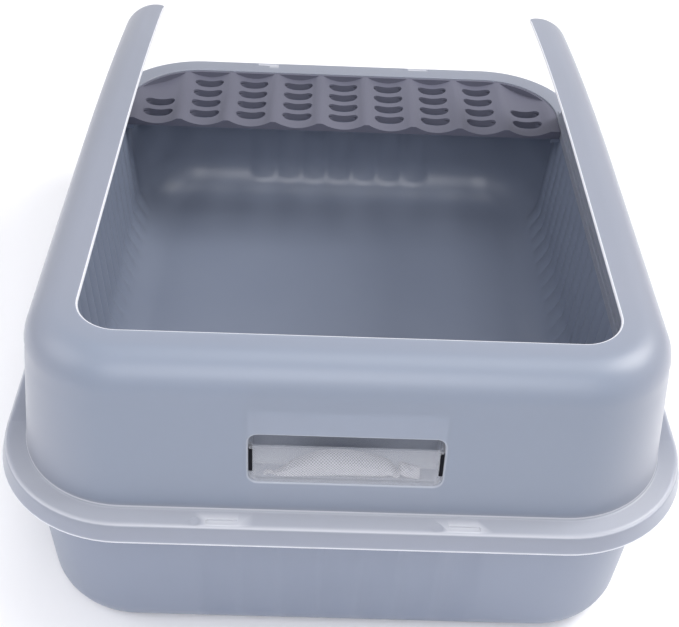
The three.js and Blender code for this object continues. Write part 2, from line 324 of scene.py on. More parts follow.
def prism(name: str, outline: list[Point], axis: int, low: float, high: float) -> bpy.types.Object:
    """Pull a flat outline along one axis into a closed solid.

    Args:
        name: Object name.
        outline: Points in the plane across the axis: (Y, Z) for X, (X, Z) for Y, (X, Y) for Z.
        axis: 0, 1 or 2 for X, Y or Z.
        low: Start along the axis.
        high: End along the axis.

    Returns:
        The solid, with its faces turned outwards.
    """
    count = len(outline)
    vertices = [np.insert(p, axis, at) for at in (low, high) for p in np.array(outline, float)]
    sides = [(i, (i + 1) % count, count + (i + 1) % count, count + i) for i in range(count)]
    caps = [tuple(reversed(range(count))), tuple(range(count, 2 * count))]
    obj = new_object(name, vertices, sides + caps)
    face_outwards(obj)
    return obj


def rounded_rectangle(low: Point, high: Point, radius: float, steps: int = 6) -> list[Point]:
    """Outline of a rounded rectangle, counter-clockwise from its lower right corner."""
    (x0, y0), (x1, y1) = low, high
    left, right, low_y, high_y = x0 + radius, x1 - radius, y0 + radius, y1 - radius
    corners = [(right, low_y), (right, high_y), (left, high_y), (left, low_y)]
    return [p for i, c in enumerate(corners) for p in arc(c, radius, 90 * i - 90, 90 * i, steps)]


# ---------------------------------------------------------------------------
# The plan that every moulding follows
# ---------------------------------------------------------------------------
@dataclass(frozen=True)
class Plan:
    """Rounded rectangle of the hood's skirt, from which every other outline is inset."""

    half_width: float
    half_length: float
    corner: float = 78 * MM
    ring_top: float = 118 * MM
    hood_top: float = 213 * MM
    sheet: float = 2.5 * MM

    @classmethod
    def from_frame(cls) -> "Plan":
        """Read the plan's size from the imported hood."""
        low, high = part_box("hood")
        return cls(half_width=(high.x - low.x) / 2, half_length=(high.y - low.y) / 2, hood_top=high.z)

    def near(self, inset: float) -> float:
        """Y of a line that lies an inset inside the near edge."""
        return inset - self.half_length

    def inset(self, points: np.ndarray) -> np.ndarray:
        """Distance of each point inside the skirt's outline, seen from above."""
        half = np.array([self.half_width - self.corner, self.half_length - self.corner])
        beyond = np.abs(points[:, :2]) - half
        outside = np.linalg.norm(np.maximum(beyond, 0), axis=1)
        return self.corner - outside - np.minimum(beyond.max(axis=1), 0)

    def loop(self, inset: float, corner_steps: int, long_steps: int, short_steps: int) -> np.ndarray:
        """Points round the outline, counter-clockwise from the middle of the near right corner's start.

        Args:
            inset: Distance inside the skirt's outline.
            corner_steps: Chords in each corner.
            long_steps: Chords in each side along Y.
            short_steps: Chords in each side along X.

        Returns:
            An array of (x, y) rows.
        """
        radius = max(self.corner - inset, 4 * MM)
        x, y = self.half_width - inset - radius, self.half_length - inset - radius
        centres = [(x, -y), (x, y), (-x, y), (-x, -y)]
        points = []
        for i, centre in enumerate(centres):
            points += arc(centre, radius, 90 * i - 90, 90 * i, corner_steps)
            last = np.array(points[-1])
            angle = math.radians(90 * i)
            after = np.array(centres[(i + 1) % 4]) + radius * np.array([math.cos(angle), math.sin(angle)])
            steps = long_steps if i % 2 == 0 else short_steps
            points += [tuple(last + (after - last) * k / steps) for k in range(1, steps)]
        return np.array(points)


@dataclass(frozen=True)
class Detail:
    """How finely a sweep is divided round the plan."""

    corner: int = 16
    long: int = 30
    short: int = 22


def sweep(name: str, plan: Plan, section: list[Point], detail: Detail, closed: bool) -> bpy.types.Object:
    """Sweep a section round the plan.

    Args:
        name: Object name.
        plan: The plan to follow.
        section: (inset, z) points that run up the outside and down the inside.
        detail: Divisions round the plan.
        closed: True for a ring, False for a solid whose ends are flat faces.

    Returns:
        The solid.
    """
    loops = [plan.loop(inset, detail.corner, detail.long, detail.short) for inset, _ in section]
    count = len(loops[0])
    vertices = [(x, y, z) for loop, (_, z) in zip(loops, section) for x, y in loop]
    faces = bridge(len(section), count, closed)
    if not closed:
        top = (len(section) - 1) * count
        faces.append(tuple(reversed(range(count))))
        faces.append(tuple(range(top, top + count)))
    return new_object(name, vertices, faces)


# ---------------------------------------------------------------------------
# Finishes
# ---------------------------------------------------------------------------
def new_material(name: str) -> tuple:
    """Start a material.

    Args:
        name: Material name.

    Returns:
        The material, its node tree, its output node and a socket with object coordinates in metres.
    """
    made = bpy.data.materials.new(name)
    made.use_nodes = True
    tree = made.node_tree
    tree.nodes.clear()
    output = add_node(tree, "ShaderNodeOutputMaterial")
    return made, tree, output, add_node(tree, "ShaderNodeTexCoord").outputs["Object"]


def grain_bump(tree: bpy.types.NodeTree, coordinates, grain_mm: float, height_mm: float, strength: float):
    """Add a fine moulded grain as a bump.

    Args:
        tree: Material node tree.
        coordinates: Output socket with object coordinates in metres.
        grain_mm: Size of one grain in millimetres.
        height_mm: Height of the grain in millimetres.
        strength: Bump strength.

    Returns:
        The Bump node's normal output.
    """
    noise = add_node(
        tree,
        NOISE,
        {"noise_dimensions": "3D"},
        {"Vector": coordinates, "Scale": 1000 / grain_mm, "Detail": 2.0, "Roughness": 0.6},
    )
    bump = add_node(
        tree,
        "ShaderNodeBump",
        None,
        {"Height": noise.outputs["Fac"], "Distance": height_mm * MM, "Strength": strength},
    )
    return bump.outputs["Normal"]


@dataclass(frozen=True)
class MouldedPolypropylene:
    """Polypropylene moulded against a lightly etched tool: an even satin with a soft mottle."""

    name: str
    colour: str
    mottle: str
    roughness: float = 0.42
    grain_mm: float = 0.9
    grain_height_mm: float = 0.02
    mottle_mm: float = 60.0
    shine: float = 0.5

    def material(self) -> bpy.types.Material:
        """Build the material."""
        made, tree, output, place = new_material(self.name)
        mottle = add_node(tree, NOISE, None, {"Vector": place, "Scale": 1000 / self.mottle_mm, "Detail": 3.0})
        colour = add_node(
            tree,
            MIX, RGBA,
            {"Factor": mottle.outputs["Fac"], 6: linear(self.colour), 7: linear(self.mottle)},
        )
        rough = add_node(
            tree,
            MAP_RANGE,
            None,
            {
                "Value": mottle.outputs["Fac"],
                "To Min": self.roughness - 0.05,
                "To Max": self.roughness + 0.05,
            },
        )
        shader = add_node(
            tree,
            PRINCIPLED,
            None,
            {
                "Base Color": colour.outputs[2],
                "Roughness": rough.outputs["Result"],
                "IOR": 1.49,
                "Specular IOR Level": self.shine,
                "Normal": grain_bump(tree, place, self.grain_mm, self.grain_height_mm, 0.35),
            },
        )
        tree.links.new(shader.outputs["BSDF"], output.inputs["Surface"])
        return made


@dataclass(frozen=True)
class FrostedPolypropylene:
    """Natural polypropylene with a cool tint.

    Its crystals scatter light, so a sheet is cloudy and shapes just behind it show softly. Thin edges
    carry a painted pale highlight and a painted glow, the near wall carries painted shade, and the face
    has a low, wide sheen.
    """

    name: str
    colour: str
    cloud: str
    # Painted shade colour that the near wall above the ring is mixed towards.
    deep: str = "9aa4b6"
    # Painted highlight colour for marked edges, also the colour of their painted glow.
    edge: str = "f6f7fc"
    roughness: float = 0.36
    transmission: float = 0.42
    grain_mm: float = 0.8
    cloud_mm: float = 90.0
    backing_half: float = 53.5 * MM
    backing_top: float = 186 * MM
    backing_y: float = -232 * MM
    blur: float = 4 * MM

    def painted_shade_share(self, tree: bpy.types.NodeTree, place):
        """Share of the painted shade that shows, less where the pale pocket stands just behind the wall, as
        painted light through the sheet.

        Args:
            tree: Material node tree.
            place: Output socket with object coordinates in metres.

        Returns:
            The share's output socket.
        """
        x, y, z = add_node(tree, "ShaderNodeSeparateXYZ", None, {0: place}).outputs
        off = add_node(tree, MATH, ABSOLUTE, {0: x}).outputs[0]
        limits = [(off, self.backing_half), (z, self.backing_top), (y, self.backing_y)]
        backed = None
        for value, limit in limits:
            inside = add_node(
                tree,
                MAP_RANGE,
                {"interpolation_type": "SMOOTHSTEP"},
                {"Value": value, "From Min": limit, "From Max": limit - self.blur},
            ).outputs["Result"]
            if backed is None:
                backed = inside
            else:
                backed = add_node(tree, MATH, MULTIPLY, {0: backed, 1: inside}).outputs[0]
        return add_node(tree, MAP_RANGE, None, {"Value": backed, "To Min": 1.0, "To Max": 0.85}).outputs[0]

    def material(self) -> bpy.types.Material:
        """Build the material."""
        made, tree, output, place = new_material(self.name)
        cloud = add_node(tree, NOISE, None, {"Vector": place, "Scale": 1000 / self.cloud_mm, "Detail": 3.0})
        colour = add_node(
            tree,
            MIX, RGBA,
            {"Factor": cloud.outputs["Fac"], 6: linear(self.colour), 7: linear(self.cloud)},
        )
        # Painted shade: the near wall's colour is mixed towards the deep colour, less over the pocket.
        deep = add_node(tree, "ShaderNodeAttribute", {"attribute_name": PAINTED_SHADE}).outputs["Fac"]
        painted_shade_shown = add_node(tree, MATH, MULTIPLY, {0: deep, 1: self.painted_shade_share(tree, place)})
        painted_shade_colour = add_node(
            tree,
            MIX, RGBA,
            {"Factor": painted_shade_shown.outputs[0], 6: colour.outputs[2], 7: linear(self.deep)},
        )
        # Painted highlight: marked edges are mixed towards the pale colour and given a painted glow.
        mark = add_node(tree, "ShaderNodeAttribute", {"attribute_name": PAINTED_EDGE}).outputs["Fac"]
        pale = linear(self.edge)
        painted_glow = add_node(tree, MIX, RGBA, {"Factor": mark, 6: linear("000000"), 7: pale})
        highlighted_colour = add_node(tree, MIX, RGBA, {"Factor": mark, 6: painted_shade_colour.outputs[2], 7: pale})
        shader = add_node(
            tree,
            PRINCIPLED,
            None,
            {
                "Base Color": highlighted_colour.outputs[2],
                "Roughness": self.roughness,
                "IOR": 1.49,
                "Transmission Weight": self.transmission,
                "Sheen Weight": 0.25,
                "Sheen Roughness": 0.35,
                # Emission here is a painted glow along the marked edges.
                "Emission Color": painted_glow.outputs[2],
                "Emission Strength": 0.16,
                "Normal": grain_bump(tree, place, self.grain_mm, 0.02, 0.3),
            },
        )
        tree.links.new(shader.outputs["BSDF"], output.inputs["Surface"])
        return made


@dataclass(frozen=True)
class ClearStyrene:
    """Clear moulded styrene, thin enough to look through.

    It is mostly see-through face on, and turns milky where it is seen along the sheet, and along marked edges
    as a painted highlight.
    """

    name: str
    colour: str = "d6d9e2"
    roughness: float = 0.12
    body: float = 0.07
    rim: float = 0.8

    def material(self) -> bpy.types.Material:
        """Build the material."""
        made, tree, output, place = new_material(self.name)
        smear = add_node(tree, NOISE, None, {"Vector": place, "Scale": 90.0, "Detail": 2.0})
        rough = add_node(
            tree,
            MAP_RANGE,
            None,
            {"Value": smear.outputs["Fac"], "To Min": self.roughness * 0.6, "To Max": self.roughness * 1.6},
        )
        facing = add_node(tree, "ShaderNodeLayerWeight", None, {"Blend": 0.25}).outputs["Facing"]
        # Opacity rises along the painted edge highlight mark, painting a pale line.
        mark = add_node(tree, "ShaderNodeAttribute", {"attribute_name": PAINTED_EDGE}).outputs["Fac"]
        thick = add_node(tree, MATH, MAXIMUM, {0: facing, 1: mark}).outputs[0]
        alpha = add_node(tree, MAP_RANGE, None, {"Value": thick, "To Min": self.body, "To Max": self.rim})
        shader = add_node(
            tree,
            PRINCIPLED,
            None,
            {
                "Base Color": linear(self.colour),
                "Roughness": rough.outputs["Result"],
                "IOR": 1.59,
                "Alpha": alpha.outputs["Result"],
            },
        )
        tree.links.new(shader.outputs["BSDF"], output.inputs["Surface"])
        return made


@dataclass(frozen=True)
class SachetMesh:
    """Thin white polyester mesh, heat-set in small diamonds, with pale granules just behind it.

    Its yarn and open cells are darker than white: painted shade from the pocket it sits in, on top of the
    darker open cells.
    """

    name: str
    # Both colours hold painted shade: the white yarn and the open cells darkened for the pocket's shade.
    thread_in_shade: str = "bdbec4"
    hole_in_shade: str = "555356"
    cell_mm: float = 0.8
    roughness: float = 0.75

    def material(self) -> bpy.types.Material:
        """Build the material."""
        made, tree, output, place = new_material(self.name)
        rows = []
        for name in (LENGTHWISE, ROUND):
            along = add_node(tree, "ShaderNodeAttribute", {"attribute_name": name}).outputs["Fac"]
            turned = add_node(tree, MATH, MULTIPLY, {0: along, 1: math.pi * 1000 / self.cell_mm}).outputs[0]
            rows.append(add_node(tree, MATH, SINE, {0: turned}).outputs[0])
        weave = add_node(tree, MATH, MULTIPLY, {0: rows[0], 1: rows[1]}).outputs[0]
        open_share = add_node(
            tree, MAP_RANGE, None, {"Value": weave, "From Min": -0.35, "From Max": 0.45}
        ).outputs["Result"]
        fibre = add_node(tree, NOISE, None, {"Vector": place, "Scale": 400.0, "Detail": 3.0})
        worn = add_node(
            tree, MAP_RANGE, None, {"Value": fibre.outputs["Fac"], "To Min": 0.55, "To Max": 1.0}
        ).outputs["Result"]
        holes = add_node(tree, MATH, MULTIPLY, {0: open_share, 1: worn}).outputs[0]
        colour = add_node(tree, MIX, RGBA, {"Factor": holes, 6: linear(self.thread_in_shade), 7: linear(self.hole_in_shade)})
        sunk = add_node(tree, MATH, SUBTRACT, {0: 1.0, 1: holes}).outputs[0]
        relief = {"Height": sunk, "Distance": 0.25 * MM, "Strength": 0.6}
        bump = add_node(tree, "ShaderNodeBump", None, relief)
        shader = add_node(
            tree,
            PRINCIPLED,
            None,
            {
                "Base Color": colour.outputs[2],
                "Roughness": self.roughness,
                "Sheen Weight": 0.2,
                "Normal": bump.outputs["Normal"],
            },
        )
        tree.links.new(shader.outputs["BSDF"], output.inputs["Surface"])
        return made


class Slot(Enum):
    """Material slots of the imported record."""

    TRAY = "tray_plastic"
    HOOD = "hood_plastic"
    STEP = "step_plastic"
    DRAWER = "drawer_plastic"
    POUCH = "pouch_fabric"


def dress(obj: bpy.types.Object, material: bpy.types.Material, slot: Slot, body: str, *nodes: str) -> None:
    """Give a finished piece its material and its body, and hide the nodes it stands for.

    Args:
        obj: The piece.
        material: Its material.
        slot: The record's slot; not used.
        body: The CAD body it moves with.
        nodes: The CAD nodes that it replaces.
    """
    obj.data.materials.clear()
    obj.data.materials.append(material)
    obj.data.polygons.foreach_set("material_index", [0] * len(obj.data.polygons))
    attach(obj, body)
    if nodes:
        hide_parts(*nodes)
    LOG.info("%s: %d faces on %s", obj.name, len(obj.data.polygons), body)


# ---------------------------------------------------------------------------
# Tray
# ---------------------------------------------------------------------------
@dataclass
class Tray:
    """The litter pan: near-upright walls with soft flutes, a rolled rim and a wide floor fillet."""

    plan: Plan
    rim_outer: float = 5.6 * MM
    rim_lip: float = 5.4 * MM
    rim_round: float = 0.8 * MM
    wall_top: float = 15.2 * MM
    wall_foot: float = 20.2 * MM
    base_radius: float = 20 * MM
    floor: float = 3 * MM
    floor_fillet: float = 34 * MM
    gap: float = 0.4 * MM
    ledge_inset: float = 27 * MM
    ledge_front: float = 164.5 * MM
    flute_depth: float = 2.2 * MM
    flute_low: float = 11 * MM
    flute_fade: float = 9 * MM

    @property
    def rim_top(self) -> float:
        """Height of the rim's upper face."""
        return self.plan.ring_top - self.plan.sheet - self.gap

    def wall_inset(self, z: float) -> float:
        """Inset of the wall's outer face at a height."""
        share = (z - self.base_radius) / (self.rim_top - self.base_radius)
        return self.wall_foot + (self.wall_top - self.wall_foot) * share

    def section(self) -> list[Point]:
        """Section of the pan, from under its floor, over its rim and down to its floor."""
        sheet, rounding = self.plan.sheet, self.rim_round
        top, outer, lip = self.rim_top, self.rim_outer, self.rim_lip
        fillet_top = self.floor + self.floor_fillet
        inner = lambda z: self.wall_inset(z) + sheet
        outside = arc((self.wall_foot + self.base_radius, self.base_radius), self.base_radius, 270, 180, 10)
        heights = np.linspace(self.base_radius, top - sheet - 2 * MM, 8)[1:]
        outside += [(self.wall_inset(z), z) for z in heights]
        rim = [
            (self.wall_top - 0.6 * MM, top - sheet),
            (outer + sheet, top - sheet),
            (outer + sheet, top - lip + rounding),
            (outer + sheet - rounding, top - lip),
            (outer + rounding, top - lip),
            (outer, top - lip + rounding),
            (outer, top - rounding),
            (outer + rounding, top),
            (inner(top) - rounding, top),
            (inner(top), top - rounding),
        ]
        inside = [(inner(z), z) for z in np.linspace(top - 2 * MM, fillet_top, 9)[:-1]]
        centre = (inner(fillet_top) + self.floor_fillet, fillet_top)
        return outside + rim + inside + arc(centre, self.floor_fillet, 180, 270, 12)

    def flute_tree(self, material: bpy.types.Material) -> bpy.types.NodeTree:
        """Tree that presses a run of rounded flutes inwards into two opposite walls."""
        sizes = dict.fromkeys(("Along Y", "Pitch", "Run", "Clear", "Depth", "Low", "High"), 1.0)
        tree, given, out = new_geometry_tree("wall_flutes", sizes)
        value = given.outputs
        place = add_node(tree, "GeometryNodeInputPosition").outputs[0]
        x, y, z = add_node(tree, "ShaderNodeSeparateXYZ", None, {0: place}).outputs
        along = add_node(tree, MIX, None, {"Factor": value["Along Y"], 2: x, 3: y}).outputs[0]
        across = add_node(tree, MIX, None, {"Factor": value["Along Y"], 2: y, 3: x}).outputs[0]
        start = add_node(tree, MATH, ADD, {0: along, 1: value["Run"]}).outputs[0]
        turns = add_node(tree, MATH, DIVIDE, {0: start, 1: value["Pitch"]}).outputs[0]
        angle = add_node(tree, MATH, MULTIPLY, {0: turns, 1: math.pi}).outputs[0]
        wave = add_node(tree, MATH, SINE, {0: angle}).outputs[0]
        crest = add_node(tree, MATH, ABSOLUTE, {0: wave}).outputs[0]
        full = add_node(tree, MATH, POWER, {0: crest, 1: 0.75}).outputs[0]
        reach = add_node(tree, MATH, ABSOLUTE, {0: along}).outputs[0]
        in_run = add_node(tree, MATH, LESS_THAN, {0: reach, 1: value["Run"]}).outputs[0]
        off = add_node(tree, MATH, ABSOLUTE, {0: across}).outputs[0]
        on_wall = add_node(tree, MATH, GREATER_THAN, {0: off, 1: value["Clear"]}).outputs[0]
        smooth = {"interpolation_type": "SMOOTHSTEP"}
        low_end = add_node(tree, MATH, ADD, {0: value["Low"], 1: self.flute_fade}).outputs[0]
        rise = add_node(tree, MAP_RANGE, smooth, {"Value": z, "From Min": value["Low"], "From Max": low_end})
        high_end = add_node(tree, MATH, SUBTRACT, {0: value["High"], 1: self.flute_fade})
        fall = add_node(
            tree,
            MAP_RANGE,
            smooth,
            {"Value": z, "From Min": value["High"], "From Max": high_end.outputs[0]},
        )
        side = add_node(tree, MATH, SIGN, {0: across}).outputs[0]
        amount = add_node(tree, MATH, MULTIPLY, {0: full, 1: value["Depth"]}).outputs[0]
        for factor in (in_run, on_wall, rise.outputs["Result"], fall.outputs["Result"], side):
            amount = add_node(tree, MATH, MULTIPLY, {0: amount, 1: factor}).outputs[0]
        inward = add_node(tree, MATH, MULTIPLY, {0: amount, 1: -1.0}).outputs[0]
        zero_one = add_node(tree, MATH, SUBTRACT, {0: 1.0, 1: value["Along Y"]}).outputs[0]
        move_x = add_node(tree, MATH, MULTIPLY, {0: inward, 1: value["Along Y"]}).outputs[0]
        move_y = add_node(tree, MATH, MULTIPLY, {0: inward, 1: zero_one}).outputs[0]
        move = add_node(tree, "ShaderNodeCombineXYZ", None, {"X": move_x, "Y": move_y}).outputs[0]
        pressed = add_node(
            tree, "GeometryNodeSetPosition", None, {"Geometry": value["Geometry"], "Offset": move}
        ).outputs[0]
        real = add_node(tree, "GeometryNodeRealizeInstances", None, {0: pressed}).outputs[0]
        faced = add_node(tree, "GeometryNodeSetMaterial", None, {"Geometry": real, "Material": material})
        tree.links.new(faced.outputs[0], out.inputs[0])
        return tree

    def ledge(self) -> bpy.types.Object:
        """Ledge inside the wall at the low end, which carries the entry step."""
        top = self.plan.ring_top - 8 * MM - self.gap
        outer, inner, under = 16.2 * MM, self.ledge_inset, top - 4 * MM
        section = [(outer, under), (outer, top), (inner, top), (inner, under)]
        ring = sweep("ledge", self.plan, section, Detail(12, 4, 4), closed=True)
        end = rounded_rectangle((-1, self.ledge_front), (1, 1), MM, 1)
        combine(ring, prism("low_end", end, 2, 0, 0.2), "INTERSECT")
        return ring

    def build(self, material: bpy.types.Material) -> bpy.types.Object:
        """Build the pan with its ledge and its flutes.

        Args:
            material: The plastic that it is moulded in.

        Returns:
            The pan.
        """
        pan = sweep("litter_tray", self.plan, self.section(), Detail(16, 176, 84), closed=False)
        tree = self.flute_tree(material)
        high = self.rim_top - 5 * MM
        shared = {"Clear": 0.12, "Low": self.flute_low, "High": high}
        run_geometry_tree(
            pan, tree, {"Along Y": 1, "Pitch": 17 * MM, "Run": 187 * MM, "Depth": self.flute_depth, **shared}
        )
        run_geometry_tree(
            pan, tree, {"Along Y": 0, "Pitch": 23 * MM, "Run": 80.5 * MM, "Depth": self.flute_depth, **shared}
        )
        combine(pan, self.ledge(), "UNION")
        clean(pan)
        shade(pan, 50)
        return pan


# ---------------------------------------------------------------------------
# Hood
# ---------------------------------------------------------------------------
@dataclass
class Hood:
    """The frosted surround: a ring with a skirt, leaning walls and a wide inward rail."""

    plan: Plan
    skirt_bottom: float = 105.7 * MM
    skirt_slope: float = 2.4 * MM
    skirt_round: float = 3 * MM
    foot_inset: float = 15.4 * MM
    foot_round: float = 1.6 * MM
    crease: float = 0.35 * MM
    lean: float = 0.115
    shoulder: float = 22 * MM
    opening_inset: float = 54.5 * MM
    lip_inset: float = 20 * MM
    lip_depth: float = 8 * MM
    edge: float = 2.2 * MM
    tip_end: float = 198 * MM
    tip_outer: float = 22 * MM
    tip_inner: float = 6 * MM
    foot_sweep: float = 20 * MM
    dip_start: float = -15 * MM
    dip: float = 13.5 * MM
    pocket_half: float = 52 * MM
    pocket_low: float = 138.8 * MM
    pocket_high: float = 171 * MM
    pocket_corner: float = 5 * MM
    pocket_roof: float = 184 * MM
    pocket_back: float = 44 * MM
    pocket_wall: float = 2 * MM
    clip_x: float = 66 * MM
    clip_length: float = 17.5 * MM
    clip_inset: float = 5 * MM
    clip_width: float = 3.6 * MM
    clip_depth: float = 1.3 * MM

    def wall_inset(self, z: float) -> float:
        """Inset of the wall's outer face at a height."""
        return self.foot_inset + (z - self.plan.ring_top) * self.lean

    def section(self) -> list[Point]:
        """Section of the ring, wall and rail, up the outside and down the inside."""
        ring, top, sheet = self.plan.ring_top, self.plan.hood_top, self.plan.sheet
        spring = top - self.shoulder
        centre = (self.wall_inset(spring) + self.shoulder, spring)
        foot_centre = (self.foot_inset - self.foot_round, ring + self.foot_round)
        hem = self.skirt_bottom
        outer = [(0.5 * MM, hem), (0, hem + 0.5 * MM), (0.25 * MM, hem + 1.6 * MM)]
        skirt_centre = (self.skirt_slope + self.skirt_round, ring - self.skirt_round)
        outer += arc(skirt_centre, self.skirt_round, 180, 90, 6)
        outer += arc(foot_centre, self.foot_round, 270, 353, 4)
        outer += [(self.wall_inset(z), z) for z in np.linspace(ring + 4 * MM, spring - 6 * MM, 8)]
        outer += [(self.wall_inset(spring - MM) + self.crease, spring - MM)]
        outer += arc(centre, self.shoulder, 171, 90, 12)
        rail_edge = self.opening_inset - self.edge / 2
        outer += [(rail_edge - 0.5 * MM, top), (rail_edge, top)]
        outer += arc((rail_edge, top - self.edge / 2), self.edge / 2, 60, -60, 4)
        under = arc(centre, self.shoulder - sheet, 90, 180, 10)
        under += [(self.wall_inset(z) + sheet, z) for z in np.linspace(spring - 3 * MM, ring + 4 * MM, 8)]
        lip = self.lip_inset
        plate = ring - sheet
        ring_part = [
            (self.foot_inset + sheet, ring),
            (lip - 0.4 * MM, ring),
            (lip, ring - 0.4 * MM),
            (lip, ring - self.lip_depth),
            (lip - 1.9 * MM, ring - self.lip_depth),
            (lip - 1.9 * MM, plate),
            (self.skirt_slope + sheet, plate),
            (sheet, self.skirt_bottom),
        ]
        return outer + under + ring_part

    def dip_rails(self, obj: bpy.types.Object) -> None:
        """Lower everything above the ring smoothly towards the entrance."""
        ring, top = self.plan.ring_top, self.plan.hood_top
        points = points_of(obj)
        run = np.maximum(0, (points[:, 1] - self.dip_start) / (self.tip_end - self.dip_start))
        rise = np.maximum(0, (points[:, 2] - ring) / (top - ring))
        points[:, 2] -= self.dip * run**2 * rise
        obj.data.vertices.foreach_set("co", points.ravel())
        obj.data.update()

    def entrance_cutter(self) -> bpy.types.Object:
        """Solid of what the entrance takes away: rounded rail tips and a sweep at each wall's foot."""
        ring, top = self.plan.ring_top, self.plan.hood_top
        outer = self.plan.half_width - self.wall_inset(top - self.shoulder)
        inner = self.plan.half_width - self.opening_inset
        end, far = self.tip_end, self.plan.half_length + 30 * MM
        wall_end = end - self.tip_outer
        side = self.plan.half_width + 30 * MM
        right = [(side, wall_end)]
        right += arc((outer - self.tip_outer, wall_end), self.tip_outer, 0, 90, 12)
        right += arc((inner + self.tip_inner, end - self.tip_inner), self.tip_inner, 90, 180, 6)
        right += [(inner, end - self.tip_inner - 40 * MM)]
        left = [(-x, y) for x, y in reversed(right)]
        outline = [(side, far)] + right + left + [(-side, far)]
        cutter = prism("entrance_cutter", outline, 2, ring, top + 30 * MM)
        sweep_centre = (wall_end + self.foot_sweep, ring + self.foot_sweep)
        kept = [(wall_end - 30 * MM, ring - 10 * MM), (wall_end + self.foot_sweep, ring - 10 * MM)]
        kept += arc(sweep_centre, self.foot_sweep, 270, 180, 12)
        kept += [(wall_end - 30 * MM, ring + self.foot_sweep)]
        combine(cutter, prism("foot_sweep", kept, 0, -side - 10 * MM, side + 10 * MM), "DIFFERENCE")
        return cutter

    def window_cutter(self) -> bpy.types.Object:
        """Solid of the pocket's window, flared to a soft roll where it meets the wall's face."""
        lean = math.atan(self.lean)
        middle = (self.pocket_low + self.pocket_high) / 2
        base = Vector((0, self.plan.near(self.wall_inset(middle)), middle))
        inward = Vector((0, math.cos(lean), -math.sin(lean)))
        upward = Vector((0, math.sin(lean), math.cos(lean)))
        roll = 1.2 * MM
        half_height = (self.pocket_high - self.pocket_low) / 2
        turns = np.radians(range(0, 91, 15))
        levels = [(-8 * MM, roll)] + [(roll - roll * math.cos(a), roll - roll * math.sin(a)) for a in turns]
        levels.append((14 * MM, 0))
        loops = []
        for depth, grow in levels:
            low = (-self.pocket_half - grow, -half_height - grow)
            high = (self.pocket_half + grow, half_height + grow)
            outline = rounded_rectangle(low, high, self.pocket_corner + grow)
            loops.append([base + Vector((x, 0, 0)) + upward * y + inward * depth for x, y in outline])
        count = len(loops[0])
        vertices = [v for loop in loops for v in loop]
        faces = [tuple(reversed(range(count))), tuple(range((len(loops) - 1) * count, len(loops) * count))]
        cutter = new_object("window_cutter", vertices, faces + bridge(len(loops), count))
        face_outwards(cutter)
        return cutter

    def pocket_solid(self, name: str, grow: float) -> bpy.types.Object:
        """Block behind the near wall: the pocket's room, or its housing when grown by a wall."""
        near = self.plan.near
        low, high = self.pocket_low - grow, self.pocket_roof + grow
        start = self.plan.sheet if grow == 0 else 1 * MM
        outline = [
            (near(self.wall_inset(low) + start), low),
            (near(self.pocket_back + grow), low),
            (near(self.pocket_back + grow), high),
            (near(self.wall_inset(high) + start), high),
        ]
        reach = self.pocket_half + 0.3 * MM + grow
        return prism(name, outline, 0, -reach, reach)

    def clip_recess(self, x: float, side: int) -> bpy.types.Object:
        """Shallow recess over a clip, deepest along its outer line."""
        y = side * (self.plan.half_length - self.clip_inset - self.clip_width / 2)
        low = (x - self.clip_length / 2, y - self.clip_width / 2)
        high = (x + self.clip_length / 2, y + self.clip_width / 2)
        ring = self.plan.ring_top
        outline = rounded_rectangle(low, high, 0.9 * MM, 3)
        return prism("clip_recess", outline, 2, ring - self.clip_depth, ring + MM)

    def ejector_mark(self, x: float, side: int) -> bpy.types.Object:
        """Round, barely sunk mark that a mould's ejector pin leaves beside a clip."""
        y = side * (self.plan.half_length - self.clip_inset - self.clip_width / 2)
        outline = arc((x, y), 3.2 * MM, 0, 345, 23)
        return prism("ejector_mark", outline, 2, self.plan.ring_top - 0.25 * MM, self.plan.ring_top + MM)

    def tint(self, obj: bpy.types.Object) -> None:
        """Mark the painted shade on the near end above the ring, fading out towards the sides and to half at
        the rail's inner edge.
        """
        points = points_of(obj)
        start = self.plan.near(self.opening_inset + 50 * MM)
        near = np.clip((start - points[:, 1]) / (46 * MM), 0, 1)
        side = np.clip((self.plan.half_width - np.abs(points[:, 0]) - 24 * MM) / (50 * MM), 0, 1)
        above = np.clip((points[:, 2] - self.plan.ring_top - MM) / (2 * MM), 0, 1)
        rolled = np.clip((self.opening_inset - self.plan.inset(points)) / (14 * MM), 0.5, 1)
        deep = obj.data.attributes.new(PAINTED_SHADE, "FLOAT", "POINT")
        smooth = near**2 * (3 - 2 * near) * side**2 * (3 - 2 * side)
        deep.data.foreach_set("value", (smooth * above * rolled).astype(np.float32))

    def painted_edge_highlight(self, points: np.ndarray) -> np.ndarray:
        """How strongly each point of the hood carries the painted pale highlight and painted glow."""
        ring = self.plan.ring_top
        inset, z = self.plan.inset(points), points[:, 2]
        # Painted highlights along the ring's outer round, the skirt's hem and the wall's foot, weaker at the
        # far end.
        amount = np.exp(-(((z - ring + 0.75 * MM) / (0.5 * MM)) ** 2)) * (inset < 6 * MM) * 0.5
        amount = np.maximum(amount, (z < self.skirt_bottom + 1.2 * MM) * 1.0)
        foot = (inset > self.foot_inset - 1.3 * MM) & (inset < self.foot_inset + 0.3 * MM)
        amount = np.maximum(amount, foot * (z > ring + 0.5 * MM) * (z < ring + 1.5 * MM) * 0.5)
        amount *= np.where(points[:, 1] > 0.15, 0.4, 1.0)
        # Painted light on the near ring's shelf, lifting it out of the near wall's shade.
        shelf = (inset < self.foot_inset) & (z > ring - MM) & (z < ring + 0.3 * MM) & (points[:, 1] < -0.16)
        amount = np.maximum(amount, shelf * np.clip((-0.18 - points[:, 1]) / 0.05, 0, 1) * 0.2)
